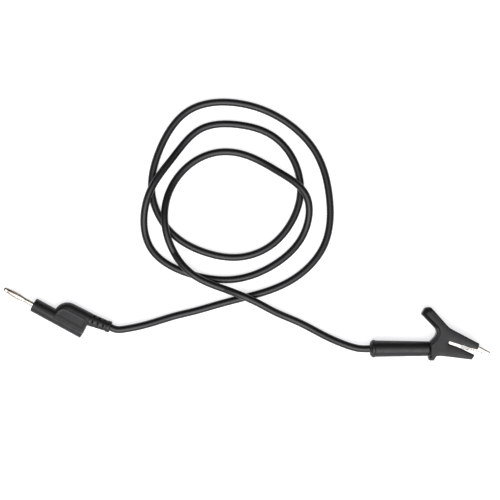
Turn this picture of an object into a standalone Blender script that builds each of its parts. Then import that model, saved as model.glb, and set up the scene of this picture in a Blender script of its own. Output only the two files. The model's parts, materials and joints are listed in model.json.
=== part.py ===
"""Test lead: a stackable 4 mm banana plug, a flexible cable and an insulated alligator clip.

The lead lies loosely wound on a bench. Blender units are metres, +Z is up and the bench is Z = 0.
Lengths below are in millimetres, and every mesh is scaled by MM when it is made.
Run with: blender --background --python part.py
"""
import math

import bmesh
import bpy
import numpy as np
from mathutils import Vector

MM = 0.001
GAP = 0.3                       # between pieces that touch on the real lead
TURN_STEPS = 24                 # facets round a turned piece
ARC_STEPS = 4                   # facets on a rounded corner of an outline

# Plug: its own X axis runs from the front shoulder back to the stacking socket,
# its Y axis points at the side that the cable leaves from.
PLUG_SHOULDER = (-122.25, 11.1)
PLUG_TURN = math.radians(-28.5)
BARREL_RADIUS = 4.05
BODY_LENGTH = 32.5
FRONT_WALL = 1.2
BODY_BORE = 3.05
PIN_HOLE = 1.75
PIN_LENGTH = 19.4
PIN_ROD_RADIUS = 1.45
PIN_CORE_RADIUS = 1.05
PIN_HEAD_LENGTH = 1.4
PIN_ROD_LENGTH = 5.2
PIN_STUB = 9.0
LANTERN_COLLAR_RADIUS = 1.5
LANTERN_BULGE = 0.5
LANTERN_WALL = 0.25
LANTERN_COLLAR = 1.0
LANTERN_SLOT = 0.45
LANTERN_SLOTS = 3               # cuts right through, so twice as many leaves
SOCKET_RADIUS = 2.05
SOCKET_DEPTH = 18.8
CONTACT_RADIUS = 2.75
HUMP_START = 12.2
HUMP_HEIGHT = 11.2
HUMP_REAR_HEIGHT = 11.7
HUMP_NOSE_RADIUS = 8.0
HUMP_HALF_WIDTH = 3.8
HUMP_EDGE = 0.9

# Strain relief: its axis leaves the back of the hump, tilted away from the barrel.
RELIEF_ROOT_Y = 7.9
RELIEF_TURN = math.radians(7.9)
RELIEF_LENGTH = 12.6
RELIEF_ROOT_RADIUS = 3.75
RELIEF_TIP_RADIUS = 3.1
RELIEF_COLLAR_RADIUS = 3.35
RELIEF_COLLAR = 2.4
RELIEF_ROWS = 6                 # of pockets, round the relief
RELIEF_ROW_TURN = math.radians(8)
RELIEF_POCKETS = 3              # in each row
RELIEF_POCKET_START = 1.35
RELIEF_POCKET_PITCH = 3.2
RELIEF_POCKET_LENGTH = 1.1
RELIEF_POCKET_WIDTH = 1.8
RELIEF_POCKET_FLOOR = 2.8
BRANCH_BORE = 2.45
BRANCH_DEPTH = 14.5

# Cable
CABLE_RADIUS = 2.1
CONDUCTOR_RADIUS = 0.95
FERRULE_RADIUS = 1.7
FERRULE_BORE = 1.25
CABLE_POINTS = 80
CABLE_REST = 2.15               # height of the cable's centre where it lies on the bench
CROSSING_CLEARANCE = 1.15       # centre distance at a crossing, in cable diameters
CROSSING_REACH = 28.0           # half the length of the hump over a crossing

# Clip: its X axis runs along the sleeve to the jaws, and it lies on its side.
CLIP_SLEEVE_END = (104.05, -14.0)
BOOT_HALF_WIDTH = 5.25
BOOT_CAVITY_HALF = 4.1
NOSE_CAVITY_HALF = 2.95
SLEEVE_LENGTH = 34.2
SLEEVE_FRONT_RADIUS = 4.2
SLEEVE_REAR_RADIUS = 4.8
SLEEVE_LIP_RADIUS = 5.1
SLEEVE_BORE = 2.45
SLEEVE_FRONT_BORE = 3.35
SLEEVE_STEP = 13.0
PIVOT = (5.6, 5.05)
MOUTH_TURN = math.radians(-16.0)
JAW_LENGTH = 28.9
SHEET = 0.6
LOWER_JAW_HALF = 3.3
UPPER_JAW_HALF = 2.35
JAW_TIP_HALF = 2.05
RIVET_RADIUS = 0.8
RIVET_HOLE = 0.95
RIVET_HEAD_RADIUS = 1.5
RIVET_HEAD = 0.45
TOOTH_PITCH = 1.5
TOOTH_DEPTH = 0.7
THROAT_START = 12.4             # an open throat lies between the side walls and the teeth
THROAT_HALF = 1.4
TEETH_START = 17.0
EAR_RADIUS = 2.4
SPRING_RADIUS = 1.55
SPRING_WIRE = 0.28
SPRING_TURNS = 3.6
SPRING_START = math.radians(215)
SPRING_PITCH = 0.72
HUB_RADIUS = 4.0                # round cheek of the upper boot, which turns inside the lower one

# Loose coil: distance of the cable from COIL_CENTRE every 30 degrees, anticlockwise from the
# side nearest the plug and clip, one row for each turn.
COIL_CENTRE = (-4.5, 73.3)
COIL_START = math.radians(-90.0)
COIL_STEP = math.radians(30.0)
COIL_RADII = (
    (58.9, 56.7, 56.0, 51.3, 50.2, 50.1, 52.9, 56.8, 52.8, 50.0, 44.0, 37.7),
    (35.1, 33.7, 33.2, 34.7, 36.8, 39.1, 40.6, 44.2, 43.9, 52.0, 59.0, 52.4),
    (47.3, 43.9, 42.6, 38.0, 26.5, 23.0, 24.3, 28.4, 34.1, 41.0, 47.4, 52.3),
)
# Free ends of the cable, between the plug and the coil and between the coil and the clip.
PLUG_TAIL = ((-70.2, -2.9), (-55.9, 0.2), (-41.7, 4.5), (-29.1, 7.6), (-20.4, 10.1))
CLIP_TAIL = ((-10.2, 19.0), (6.9, 11.6), (15.5, 7.0), (29.8, 0.7), (44.1, -6.7), (57.1, -12.2))


def clear_scene():
    for obj in list(bpy.data.objects):
        bpy.data.objects.remove(obj, do_unlink=True)


def new_collection(name):
    collection = bpy.data.collections.new(name)
    bpy.context.scene.collection.children.link(collection)
    return collection


def new_material(name, colour, roughness, metallic=0.0):
    material = bpy.data.materials.new(name)
    material.use_nodes = True
    shader = material.node_tree.nodes["Principled BSDF"]
    shader.inputs["Base Color"].default_value = (*colour, 1.0)
    shader.inputs["Roughness"].default_value = roughness
    shader.inputs["Metallic"].default_value = metallic
    return material


def new_frame(name, location, turn=0.0, parent=None):
    """An empty whose X axis lies along the parts that hang from it."""
    frame = bpy.data.objects.new(name, None)
    frame.empty_display_size = 5 * MM
    frame.location = Vector(location) * MM
    frame.rotation_euler = (0, 0, turn)
    frame.parent = parent
    PARTS.objects.link(frame)
    return frame


def place(obj, frame, turned=False):
    """Hang obj from a frame; a turned piece has its own Z axis laid along the frame's X."""
    obj.parent = frame
    if turned:
        obj.rotation_euler = (0, math.radians(90), 0)
    return obj


def finish_part(obj, material):
    obj.data.materials.clear()
    obj.data.materials.append(material)
    if obj.type == "MESH":
        obj.data.shade_smooth()
        obj.data.set_sharp_from_angle(angle=math.radians(35))
    return obj


def as_cutter(obj):
    PARTS.objects.unlink(obj)
    CUTTERS.objects.link(obj)
    obj.hide_render = True
    obj.display_type = "WIRE"
    return obj


def boolean(target, other, operation="DIFFERENCE"):
    modifier = target.modifiers.new(other.name, "BOOLEAN")
    modifier.operation = operation
    modifier.object = other
    as_cutter(other)


def turned_piece(name, profile, frame, closed=False, upright=False):
    """Turn a profile of (radius, place along the axis), given from the far end to the near one."""
    mesh = bpy.data.meshes.new(name)
    points = [(radius * MM, 0, along * MM) for radius, along in profile]
    edges = [(i, i + 1) for i in range(len(points) - 1)]
    if closed:
        edges.append((len(points) - 1, 0))
    mesh.from_pydata(points, edges, [])
    obj = bpy.data.objects.new(name, mesh)
    PARTS.objects.link(obj)
    screw = obj.modifiers.new("Turn", "SCREW")
    screw.steps = TURN_STEPS
    screw.render_steps = TURN_STEPS
    screw.use_merge_vertices = True
    screw.merge_threshold = 0.00001
    return place(obj, frame, turned=not upright)


def rod(name, radius, start, end, frame, upright=False):
    profile = [(0, end), (radius, end), (radius, start), (0, start)]
    return turned_piece(name, profile, frame, upright=upright)


def tube(name, radius, bore, start, end, frame):
    profile = [(radius, end), (radius, start), (bore, start), (bore, end)]
    return turned_piece(name, profile, frame, closed=True)


def to_mesh(obj):
    """Swap a curve for its welded mesh, so that it can be bevelled, cut and joined."""
    mesh = bpy.data.meshes.new_from_object(obj.evaluated_get(bpy.context.evaluated_depsgraph_get()))
    work = bmesh.new()
    work.from_mesh(mesh)
    bmesh.ops.remove_doubles(work, verts=work.verts, dist=0.000001)
    work.to_mesh(mesh)
    work.free()
    name = obj.name
    matrix = obj.matrix_world.copy()
    bpy.data.objects.remove(obj, do_unlink=True)
    solid = bpy.data.objects.new(name, mesh)
    solid.matrix_world = matrix
    PARTS.objects.link(solid)
    return solid


def plate(name, outline, half_width, frame, edge=0.0):
    """A flat outline of (x, y), as thick as twice half_width, with its rims rounded by edge."""
    curve = bpy.data.curves.new(name, "CURVE")
    curve.dimensions = "2D"
    curve.fill_mode = "BOTH"
    curve.extrude = half_width * MM
    spline = curve.splines.new("POLY")
    spline.points.add(len(outline) - 1)
    for point, (x, y) in zip(spline.points, outline):
        point.co = (x * MM, y * MM, 0, 1)
    spline.use_cyclic_u = True
    obj = bpy.data.objects.new(name, curve)
    PARTS.objects.link(obj)
    bpy.context.view_layer.update()
    solid = to_mesh(obj)
    if edge:
        bevel = solid.modifiers.new("Round rims", "BEVEL")
        bevel.width = edge * MM
        bevel.segments = 2
        bevel.limit_method = "ANGLE"
        bevel.angle_limit = math.radians(60)
    return place(solid, frame)


def box(name, low, high, frame):
    """A block between two corners, in the frame's own axes."""
    corners = [(low[0], low[1]), (high[0], low[1]), (high[0], high[1]), (low[0], high[1])]
    block = plate(name, corners, (high[2] - low[2]) / 2, frame)
    block.location.z = (low[2] + high[2]) / 2 * MM
    return block


def wire(name, points, radius, frame=None):
    """A round wire along points, with eight sides and filled ends."""
    curve = bpy.data.curves.new(name, "CURVE")
    curve.dimensions = "3D"
    curve.bevel_depth = radius * MM
    curve.bevel_resolution = 2
    curve.use_fill_caps = True
    spline = curve.splines.new("POLY")
    spline.points.add(len(points) - 1)
    for point, place_mm in zip(spline.points, points):
        point.co = (*[value * MM for value in place_mm], 1)
    obj = bpy.data.objects.new(name, curve)
    PARTS.objects.link(obj)
    return place(obj, frame)


def rounded(corners):
    """Closed outline through corners of (x, y, radius), each rounded by an arc of its radius."""
    outline = []
    for i, (x, y, radius) in enumerate(corners):
        here = Vector((x, y))
        if not radius:
            outline.append((x, y))
            continue
        back = (Vector(corners[i - 1][:2]) - here).normalized()
        ahead = (Vector(corners[(i + 1) % len(corners)][:2]) - here).normalized()
        half = back.angle(ahead) / 2
        centre = here + (back + ahead).normalized() * radius / math.sin(half)
        first = here + back * radius / math.tan(half) - centre
        last = here + ahead * radius / math.tan(half) - centre
        start = math.atan2(first.y, first.x)
        sweep = math.atan2(last.y, last.x) - start
        sweep = (sweep + math.pi) % (2 * math.pi) - math.pi
        for step in range(ARC_STEPS + 1):
            angle = start + sweep * step / ARC_STEPS
            outline.append((centre.x + radius * math.cos(angle), centre.y + radius * math.sin(angle)))
    return outline


def arc(centre, radius, start, end, steps):
    """Points on a circle, from one angle to another in degrees."""
    angles = [math.radians(start + (end - start) * i / steps) for i in range(steps + 1)]
    return [(centre[0] + radius * math.cos(a), centre[1] + radius * math.sin(a)) for a in angles]


# Plug ---------------------------------------------------------------------------------------

def make_plug_body(plug, relief):
    edge = 0.4
    body = turned_piece(
        "plug_body",
        [
            (0, BODY_LENGTH),
            (BARREL_RADIUS - edge, BODY_LENGTH),
            (BARREL_RADIUS, BODY_LENGTH - edge),
            (BARREL_RADIUS, edge),
            (BARREL_RADIUS - edge, 0),
            (0, 0),
        ],
        plug,
    )
    hump = plate(
        "hump",
        rounded([
            (HUMP_START, 0, 0),
            (HUMP_START, HUMP_HEIGHT, HUMP_NOSE_RADIUS),
            (BODY_LENGTH - 0.05, HUMP_REAR_HEIGHT, 0.8),
            (BODY_LENGTH - 0.05, 0, 0),
        ]),
        HUMP_HALF_WIDTH,
        plug,
        HUMP_EDGE,
    )
    boolean(body, hump, "UNION")
    bore = turned_piece(
        "plug_bore",
        [
            (0, BODY_LENGTH + 2),
            (BODY_BORE, BODY_LENGTH + 2),
            (BODY_BORE, FRONT_WALL),
            (PIN_HOLE, FRONT_WALL),
            (PIN_HOLE, -2),
            (0, -2),
        ],
        plug,
    )
    boolean(body, bore)
    boolean(body, rod("branch_bore", BRANCH_BORE, -BRANCH_DEPTH, 3, relief))
    boolean(body, box("lug_slot", (18.3, 2.0, -0.75), (21.3, 6.0, 0.75), plug))
    return finish_part(body, BLACK_PVC)


def make_pin(plug):
    tip = -PIN_LENGTH
    head = -PIN_LENGTH + PIN_HEAD_LENGTH
    profile = [
        (0, PIN_STUB),
        (1.0, PIN_STUB),
        (1.25, PIN_STUB - 0.4),
        (1.25, FRONT_WALL),
        (PIN_ROD_RADIUS, FRONT_WALL),
        (PIN_ROD_RADIUS, -PIN_ROD_LENGTH),
        (PIN_CORE_RADIUS, -PIN_ROD_LENGTH),
        (PIN_CORE_RADIUS, head),
        (PIN_ROD_RADIUS, head),
    ]
    for step in range(1, 5):
        angle = math.radians(90 * step / 4)
        along = head - PIN_HEAD_LENGTH * math.sin(angle)
        profile.append((PIN_ROD_RADIUS * math.cos(angle), along))
    profile[-1] = (0, tip)
    return finish_part(turned_piece("plug_core_pin", profile, plug), NICKEL)


def make_lantern(plug):
    """The sprung sleeve round the pin: a bulged tube slit into leaves."""
    rear = -PIN_ROD_LENGTH - GAP
    front = -PIN_LENGTH + PIN_HEAD_LENGTH + GAP
    bulge_rear = rear - LANTERN_COLLAR
    bulge_front = front + LANTERN_COLLAR
    outer = [(LANTERN_COLLAR_RADIUS, rear)]
    steps = 8
    for step in range(steps + 1):
        share = step / steps
        radius = LANTERN_COLLAR_RADIUS + LANTERN_BULGE * math.sin(math.pi * share)
        outer.append((radius, bulge_rear + (bulge_front - bulge_rear) * share))
    outer.append((LANTERN_COLLAR_RADIUS, front))
    inner = [(radius - LANTERN_WALL, along) for radius, along in reversed(outer)]
    spring = turned_piece("plug_lantern_spring", outer + inner, plug, closed=True)
    for i in range(LANTERN_SLOTS):
        slot = box(
            f"lantern_slot_{i}",
            (bulge_front + 0.3, -LANTERN_SLOT / 2, -3),
            (bulge_rear - 0.3, LANTERN_SLOT / 2, 3),
            plug,
        )
        slot.rotation_euler.x = math.pi * i / LANTERN_SLOTS
        boolean(spring, slot)
    return finish_part(spring, NICKEL)


def make_contacts(plug):
    bush_end = BODY_LENGTH - SOCKET_DEPTH - GAP
    pin_bore = 1.55
    bush = turned_piece(
        "plug_contact_bush",
        [
            (0, bush_end),
            (CONTACT_RADIUS, bush_end),
            (CONTACT_RADIUS, FRONT_WALL + GAP),
            (pin_bore, FRONT_WALL + GAP),
            (pin_bore, PIN_STUB + GAP),
            (0, PIN_STUB + GAP),
        ],
        plug,
    )
    finish_part(bush, BRASS)
    socket_start = BODY_LENGTH - SOCKET_DEPTH
    socket = tube(
        "plug_socket_sleeve", CONTACT_RADIUS, SOCKET_RADIUS, socket_start, BODY_LENGTH - 0.2, plug
    )
    finish_part(socket, NICKEL)
    lug = box("plug_contact_lug", (18.8, CONTACT_RADIUS + GAP, -0.45), (20.8, 4.1, 0.45), plug)
    finish_part(lug, BRASS)


def make_plug_cable_end(relief):
    stripped = -5.0
    finish_part(rod("plug_cable_end", CABLE_RADIUS, stripped, RELIEF_LENGTH, relief), CABLE_PVC)
    conductor = rod("plug_conductor", CONDUCTOR_RADIUS, -13.9, stripped - GAP, relief)
    finish_part(conductor, COPPER)
    ferrule = tube("plug_crimp_ferrule", FERRULE_RADIUS, FERRULE_BORE, -13.6, -8.2, relief)
    finish_part(ferrule, BRASS)


def make_strain_relief(plug, relief):
    """A tapered tube with rows of pockets moulded into it all round, so that it bends evenly."""
    start = -0.8
    collar = RELIEF_LENGTH - RELIEF_COLLAR
    piece = turned_piece(
        "plug_strain_relief",
        [
            (RELIEF_COLLAR_RADIUS - 0.5, RELIEF_LENGTH),
            (RELIEF_COLLAR_RADIUS, RELIEF_LENGTH - 0.5),
            (RELIEF_COLLAR_RADIUS, collar),
            (RELIEF_TIP_RADIUS, collar - 0.25),
            (RELIEF_ROOT_RADIUS, start),
            (BRANCH_BORE, start),
            (BRANCH_BORE, RELIEF_LENGTH),
        ],
        relief,
        closed=True,
    )
    half = RELIEF_POCKET_WIDTH / 2
    for row in range(RELIEF_ROWS):
        row_frame = new_frame(f"relief_row_{row}", (0, 0, 0), parent=relief)
        row_frame.rotation_euler.x = RELIEF_ROW_TURN + 2 * math.pi * row / RELIEF_ROWS
        for i in range(RELIEF_POCKETS):
            near = RELIEF_POCKET_START + RELIEF_POCKET_PITCH * i
            pocket = box(
                f"relief_pocket_{row}_{i}",
                (near, -half, RELIEF_POCKET_FLOOR),
                (near + RELIEF_POCKET_LENGTH, half, RELIEF_ROOT_RADIUS + 1),
                row_frame,
            )
            boolean(piece, pocket)
    boolean(piece, box("relief_root_cut", (20, -10, -10), (BODY_LENGTH + GAP, 20, 10), plug))
    return finish_part(piece, BLACK_PVC)


# Clip ---------------------------------------------------------------------------------------

def mouth_point(along, above):
    """A point given along the closed mouth from the pivot and above it, in the clip's axes."""
    cos, sin = math.cos(MOUTH_TURN), math.sin(MOUTH_TURN)
    return (PIVOT[0] + along * cos - above * sin, PIVOT[1] + along * sin + above * cos)


def teeth(side):
    """The toothed edge of a jaw from the throat to the tip; side is +1 above the mouth."""
    edge = []
    along = TEETH_START
    while along < JAW_LENGTH - TOOTH_PITCH:
        edge.append(mouth_point(along, side * (0.12 + TOOTH_DEPTH)))
        edge.append(mouth_point(along + TOOTH_PITCH * 0.5, side * 0.12))
        along += TOOTH_PITCH
    edge.append(mouth_point(along, side * (0.12 + TOOTH_DEPTH)))
    edge.append(mouth_point(JAW_LENGTH, side * 0.12))
    return edge


def taper_to_tip(obj, half, inset=0.0):
    """Narrow a plate from half at the pivot to JAW_TIP_HALF at the tip, less inset each side."""
    for vertex in obj.data.vertices:
        x, y = vertex.co.x / MM - PIVOT[0], vertex.co.y / MM - PIVOT[1]
        along = x * math.cos(MOUTH_TURN) + y * math.sin(MOUTH_TURN)
        width = half + (JAW_TIP_HALF - half) * along / JAW_LENGTH - inset
        vertex.co.z = math.copysign(width * MM, vertex.co.z)


def make_lower_jaw(clip, pivot):
    """The fixed jaw: a channel of sheet metal with ears at the pivot and a tail in the sleeve."""
    ear = arc(PIVOT, EAR_RADIUS, 180, 10, 10)
    wall = [mouth_point(10.9, 0.95), mouth_point(THROAT_START - 0.3, 0.2)]
    throat = [mouth_point(THROAT_START, -THROAT_HALF), mouth_point(TEETH_START - 0.6, -THROAT_HALF)]
    outline = (
        [(1.6, -2.7), (1.6, 0.5)]
        + ear
        + wall
        + throat
        + teeth(-1)
        + [(33.2, -4.3), (27.0, -4.6), (20.0, -4.5), (10.0, -3.2)]
    )
    jaw = plate("clip_lower_jaw", outline, LOWER_JAW_HALF, clip)
    taper_to_tip(jaw, LOWER_JAW_HALF)
    hollow = plate(
        "lower_jaw_hollow",
        [(-1, -2.1), (10.0, -2.6), (20.0, -3.9), (27.0, -3.9), (31.6, -3.7), (34, 9), (-1, 12)],
        1.0,
        clip,
    )
    taper_to_tip(hollow, LOWER_JAW_HALF, SHEET)
    boolean(jaw, hollow)
    tail = plate("lower_jaw_tail", [(-11.0, -2.75), (4.0, -2.75), (4.0, -2.1), (-11.0, -2.1)], 1.4, clip)
    boolean(jaw, tail, "UNION")
    boolean(jaw, rod("lower_jaw_rivet_hole", RIVET_HOLE, -5, 5, pivot, upright=True))
    return finish_part(jaw, NICKEL)


def make_upper_jaw(clip, pivot):
    """The moving jaw: a channel over the mouth, bent up behind the pivot into the lever."""
    lever_front = [(8.6, 12.1), (0.3, 21.3)]
    lever_back = [(-2.3, 18.9), (4.6, 11.0)]
    outline = (
        [(34.7, -1.9), (28.0, 1.6), (10.4, 10.85)]
        + lever_front
        + lever_back
        + [(4.4, 8.5)]
        + arc(PIVOT, 2.2, 165, 340, 10)
        + [mouth_point(5.0, 1.3), mouth_point(TEETH_START - 0.6, THROAT_HALF)]
        + teeth(1)
    )
    jaw = plate("clip_upper_jaw", outline, UPPER_JAW_HALF, clip)
    taper_to_tip(jaw, UPPER_JAW_HALF)
    hollow = plate(
        "upper_jaw_hollow",
        [
            (32.5, -1.6), (27.7, 1.0), (10.1, 10.2), (8.1, 11.7), (0.3, 20.4),
            (-1.6, 18.8), (-6.0, 14.0), (2.0, 0.0), (20.0, -6.0), (32.5, -6.0),
        ],
        1.0,
        clip,
    )
    taper_to_tip(hollow, UPPER_JAW_HALF, SHEET)
    boolean(jaw, hollow)
    boolean(jaw, rod("upper_jaw_rivet_hole", RIVET_HOLE, -5, 5, pivot, upright=True))
    return finish_part(jaw, NICKEL)


def make_rivet(pivot):
    inner = LOWER_JAW_HALF + 0.15
    outer = inner + RIVET_HEAD
    profile = [
        (0, outer),
        (RIVET_HEAD_RADIUS - 0.2, outer),
        (RIVET_HEAD_RADIUS, outer - 0.2),
        (RIVET_HEAD_RADIUS, inner),
        (RIVET_RADIUS, inner),
        (RIVET_RADIUS, -inner),
        (RIVET_HEAD_RADIUS, -inner),
        (RIVET_HEAD_RADIUS, -outer + 0.2),
        (RIVET_HEAD_RADIUS - 0.2, -outer),
        (0, -outer),
    ]
    return finish_part(turned_piece("clip_pivot_rivet", profile, pivot, upright=True), STEEL)


def make_spring(pivot):
    """The torsion spring: turns round the rivet, one leg on the tail and one up the lever."""
    steps = round(SPRING_TURNS * 12)
    height = SPRING_PITCH * SPRING_TURNS
    points = [(-4.9, -6.2, -height / 2), (-3.2, -4.1, -height / 2)]
    for i in range(steps + 1):
        angle = SPRING_START + 2 * math.pi * SPRING_TURNS * i / steps
        x, y = SPRING_RADIUS * math.cos(angle), SPRING_RADIUS * math.sin(angle)
        points.append((x, y, height * (i / steps - 0.5)))
    points += [(-1.0, 6.6, height / 2), (-3.2, 10.0, height / 2)]
    return finish_part(wire("clip_torsion_spring", points, SPRING_WIRE, pivot), STEEL)


def make_lower_boot(clip):
    outline = (
        rounded([
            (15.6, 1.1, 0),
            (18.9, -0.2, 0),
            (25.3, -3.4, 0.5),
            (23.5, -6.1, 0.8),
            (10.7, -4.5, 0),
            (3.4, -4.2, 1.5),
            (1.9, -6.7, 0.8),
            (-0.7, -6.7, 0.8),
            (-1.0, -4.9, 0.5),
            (0.0, -4.3, 0),
            (0.0, 4.3, 0.4),
            (0.9, 5.1, 0.5),
        ])
        + arc(PIVOT, HUB_RADIUS + GAP, 172, 330, 12)
    )
    outline.reverse()
    boot = plate("clip_boot_lower", outline, BOOT_HALF_WIDTH, clip)
    cavity = plate(
        "lower_boot_cavity",
        [(-2, -3.1), (10.5, -3.5), (16.5, -4.3), (16.5, 8.0), (2.0, 8.0), (1.2, 3.4), (-2, 3.1)],
        BOOT_CAVITY_HALF,
        clip,
    )
    boolean(boot, cavity)
    nose = plate(
        "lower_nose_cavity",
        [(16.0, -4.2), (20.0, -4.85), (28.0, -4.95), (28.0, 2.0), (16.0, 4.0)],
        NOSE_CAVITY_HALF,
        clip,
    )
    boolean(boot, nose)
    return finish_part(boot, BLACK_PVC)


def make_upper_boot(clip):
    outline = (
        rounded([
            (11.6, 4.3, 0),
            (17.5, 2.2, 0),
            (27.1, -0.3, 0.5),
            (28.0, 2.9, 0.7),
            (10.6, 12.1, 6.0),
            (0.3, 24.0, 1.5),
            (-2.9, 23.6, 1.5),
            (-5.0, 19.9, 0.6),
            (3.1, 11.5, 1.5),
        ])
        + arc(PIVOT, HUB_RADIUS, 138, 348, 16)
    )
    boot = plate("clip_boot_upper", outline, BOOT_HALF_WIDTH, clip)
    cavity = plate(
        "upper_boot_cavity",
        [
            (16.5, 7.95), (10.2, 11.25), (9.4, 12.1), (3.9, 12.1), (4.1, 11.0), (3.7, 7.9),
            (-1.0, 6.0), (-1.0, -1.0), (16.5, -1.0),
        ],
        BOOT_CAVITY_HALF,
        clip,
    )
    boolean(boot, cavity)
    lever = plate(
        "lever_cavity",
        [(9.2, 11.9), (8.9, 12.35), (0.34, 21.8), (-2.8, 18.95), (4.2, 11.0), (4.2, 10.0), (9.2, 10.0)],
        NOSE_CAVITY_HALF,
        clip,
    )
    boolean(boot, lever)
    nose = plate(
        "upper_nose_cavity",
        [(16.0, 8.2), (28.0, 1.9), (30.0, 0.85), (30.0, -4.0), (16.0, -1.0)],
        NOSE_CAVITY_HALF,
        clip,
    )
    boolean(boot, nose)
    return finish_part(boot, BLACK_PVC)


def make_sleeve(clip):
    rear = -SLEEVE_LENGTH
    sleeve = turned_piece(
        "clip_sleeve",
        [
            (SLEEVE_FRONT_RADIUS, -GAP),
            (SLEEVE_REAR_RADIUS, rear + 3.2),
            (SLEEVE_LIP_RADIUS, rear + 2.6),
            (SLEEVE_LIP_RADIUS, rear + 1.8),
            (SLEEVE_LIP_RADIUS - 1.2, rear + 0.4),
            (SLEEVE_LIP_RADIUS - 1.6, rear),
            (SLEEVE_BORE, rear),
            (SLEEVE_BORE, -SLEEVE_STEP),
            (SLEEVE_FRONT_BORE, -SLEEVE_STEP + 0.8),
            (SLEEVE_FRONT_BORE, -GAP),
        ],
        clip,
        closed=True,
    )
    return finish_part(sleeve, BLACK_PVC)


def make_clip_cable_end(clip):
    stripped = -12.0
    finish_part(rod("clip_cable_end", CABLE_RADIUS, -SLEEVE_LENGTH, stripped, clip), CABLE_PVC)
    conductor = rod("clip_conductor", CONDUCTOR_RADIUS, stripped + GAP, -3.4, clip)
    finish_part(conductor, COPPER)
    ferrule = tube("clip_crimp_ferrule", FERRULE_RADIUS, FERRULE_BORE, -10.8, -3.8, clip)
    finish_part(ferrule, BRASS)


# Cable --------------------------------------------------------------------------------------

def smooth_curve(knots, samples):
    """A natural cubic spline through knots, read at samples points of equal spacing."""
    knots = np.array(knots, float)
    chord = np.concatenate(([0.0], np.cumsum(np.linalg.norm(np.diff(knots, axis=0), axis=1))))
    step = np.diff(chord)
    count = len(knots)
    system = np.eye(count)
    right = np.zeros_like(knots)
    for i in range(1, count - 1):
        system[i, i - 1:i + 2] = step[i - 1], 2 * (step[i - 1] + step[i]), step[i]
        rise = (knots[i + 1] - knots[i]) / step[i] - (knots[i] - knots[i - 1]) / step[i - 1]
        right[i] = 6 * rise
    bend = np.linalg.solve(system, right)
    fine = np.linspace(0, chord[-1], 8 * samples)
    index = np.clip(np.searchsorted(chord, fine) - 1, 0, count - 2)
    width = step[index][:, None]
    right_share = (fine - chord[index])[:, None] / width
    left_share = 1 - right_share
    curve = (
        left_share * knots[index]
        + right_share * knots[index + 1]
        + ((left_share ** 3 - left_share) * bend[index] + (right_share ** 3 - right_share) * bend[index + 1])
        * width ** 2 / 6
    )
    along = np.concatenate(([0.0], np.cumsum(np.linalg.norm(np.diff(curve, axis=0), axis=1))))
    even = np.linspace(0, along[-1], samples)
    return np.stack([np.interp(even, along, curve[:, axis]) for axis in range(2)], axis=1), even


def coil_knots():
    knots = []
    radii = [radius for turn in COIL_RADII for radius in turn]
    for i, radius in enumerate(radii):
        angle = COIL_START + COIL_STEP * i
        knots.append((COIL_CENTRE[0] + radius * math.cos(angle), COIL_CENTRE[1] + radius * math.sin(angle)))
    return knots


def rest_heights(path, along, start_height, end_height):
    """Height of the centre line: on the bench, up to both ends, and over what it crosses."""
    reach = 38.0
    heights = np.full(len(path), CABLE_REST)
    for share, height in ((along / reach, start_height), ((along[-1] - along) / reach, end_height)):
        fade = np.clip(1 - share, 0, 1)
        heights += (height - CABLE_REST) * fade * fade * (3 - 2 * fade)
    spacing = CROSSING_CLEARANCE * 2 * CABLE_RADIUS
    apart = np.linalg.norm(path[:, None] - path[None, :], axis=2)
    later = along[:, None] - along[None, :] > 8 * CABLE_RADIUS
    touching = later & (apart < spacing)
    lift = np.sqrt(np.clip(spacing ** 2 - apart ** 2, 0, None))
    share = np.clip(1 - np.abs(along[:, None] - along[None, :]) / CROSSING_REACH, 0, 1)
    hump = share * share * (3 - 2 * share)
    base = heights.copy()
    for _ in range(4):
        needed = np.where(touching, heights[None, :] + lift, 0).max(axis=1)
        over = np.clip(needed - base, 0, None)
        heights = base + (over[None, :] * hump).max(axis=1)
    return heights


def make_cable(plug, relief, clip):
    bpy.context.view_layer.update()
    start = relief.matrix_world @ Vector(((RELIEF_LENGTH + GAP) * MM, 0, 0)) / MM
    beyond = relief.matrix_world @ Vector(((RELIEF_LENGTH + GAP + 3.0) * MM, 0, 0)) / MM
    end = clip.matrix_world @ Vector(((-SLEEVE_LENGTH - GAP) * MM, 0, 0)) / MM
    before = clip.matrix_world @ Vector(((-SLEEVE_LENGTH - GAP - 5.0) * MM, 0, 0)) / MM
    knots = [start[:2], beyond[:2], *PLUG_TAIL, *coil_knots(), *CLIP_TAIL, before[:2], end[:2]]
    fine, along = smooth_curve(knots, 5 * CABLE_POINTS)
    heights = rest_heights(fine, along, start.z, end.z)
    length = along[-1]
    inner = np.linspace(4 * CABLE_RADIUS, length - 4 * CABLE_RADIUS, CABLE_POINTS - 4)
    even = [0.0, CABLE_RADIUS, *inner, length - CABLE_RADIUS, length]
    points = [
        (np.interp(s, along, fine[:, 0]), np.interp(s, along, fine[:, 1]), np.interp(s, along, heights))
        for s in even
    ]

    cable = wire("cable_jacket", points, CABLE_RADIUS)
    return finish_part(cable, CABLE_PVC)


clear_scene()
PARTS = new_collection("Alligator clip lead")
CUTTERS = new_collection("Cutters")
BLACK_PVC = new_material("Black PVC", (0.018, 0.017, 0.018), 0.45)
CABLE_PVC = new_material("Black cable PVC", (0.012, 0.012, 0.013), 0.32)
NICKEL = new_material("Nickel plate", (0.80, 0.76, 0.71), 0.22, 1.0)
STEEL = new_material("Spring steel", (0.55, 0.55, 0.56), 0.3, 1.0)
BRASS = new_material("Brass", (0.78, 0.60, 0.30), 0.3, 1.0)
COPPER = new_material("Tinned copper", (0.80, 0.45, 0.32), 0.35, 1.0)

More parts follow.
